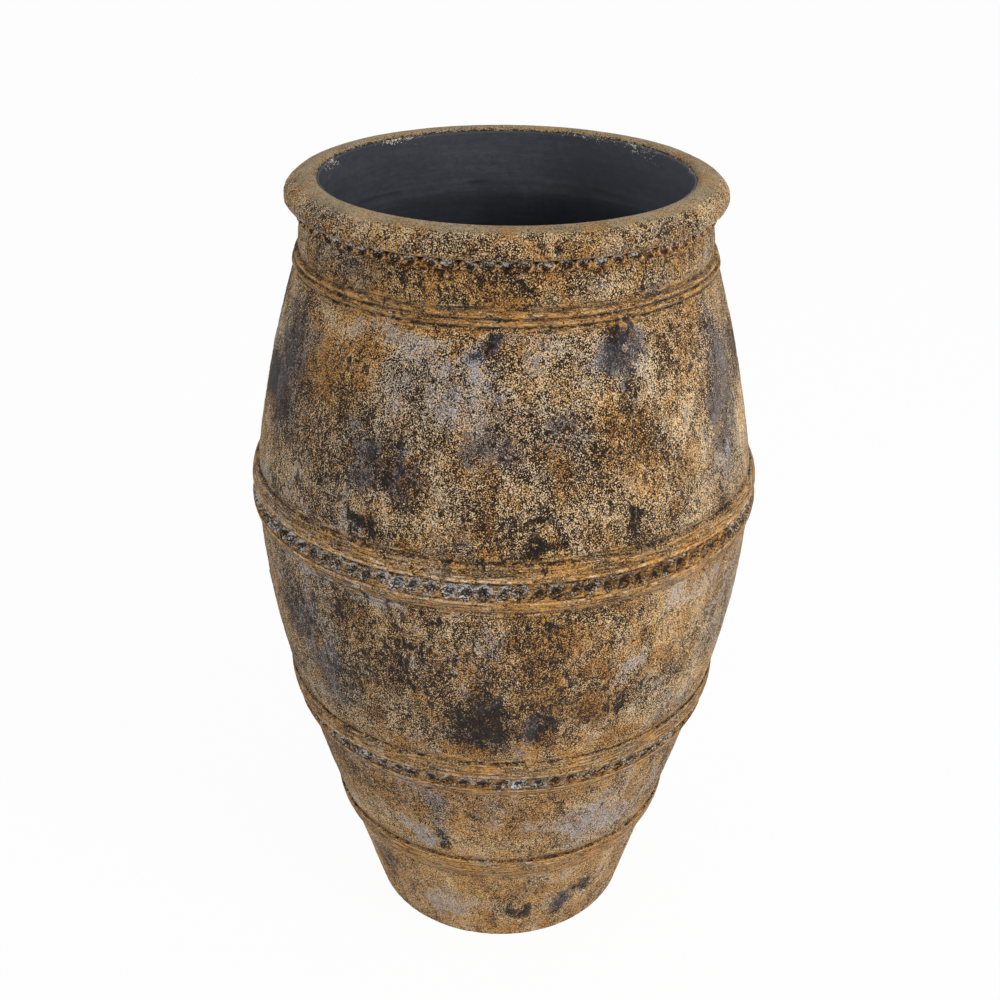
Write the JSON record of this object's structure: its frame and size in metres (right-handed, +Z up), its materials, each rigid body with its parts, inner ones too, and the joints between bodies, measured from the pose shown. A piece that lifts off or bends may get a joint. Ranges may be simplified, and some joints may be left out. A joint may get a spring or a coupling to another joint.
{
  "type": "storage jar",
  "caption": "Tall barrel-shaped fired-clay storage jar with a rolled lip, crimped strip, thumb-pressed bands and a dark-lined open inside.",
  "frame": {"origin": "on the ground at the middle of the foot", "axes": "+Z up along the jar's axis; -Y is the side that the picture shows"},
  "size_m": [0.6527, 0.6528, 1.046],
  "materials": {
    "wall_clay": "weathered, matt, speckled",
    "band_clay": "weathered, matt, rust-tinted",
    "rim_clay": "weathered, matt, worn smooth",
    "lining_coat": "smooth, low sheen"
  },
  "bodies": {
    "root": {"base_disc": "wall_clay", "foot_section": "wall_clay", "lower_section": "wall_clay", "belly_section": "wall_clay", "shoulder_section": "wall_clay", "neck_section": "wall_clay", "foot_collar": "band_clay", "lower_band_lower_fillet": "band_clay", "lower_band_impressed_strip": "band_clay", "lower_band_upper_fillet": "band_clay", "belly_band_lower_fillet": "band_clay", "belly_band_impressed_strip": "band_clay", "belly_band_upper_fillet": "band_clay", "neck_base_lower_coil": "band_clay", "neck_base_upper_coil": "band_clay", "rim_crimped_strip": "band_clay", "rim_lip": "rim_clay", "inner_lining": "lining_coat"}
  },
  "joints": []
}
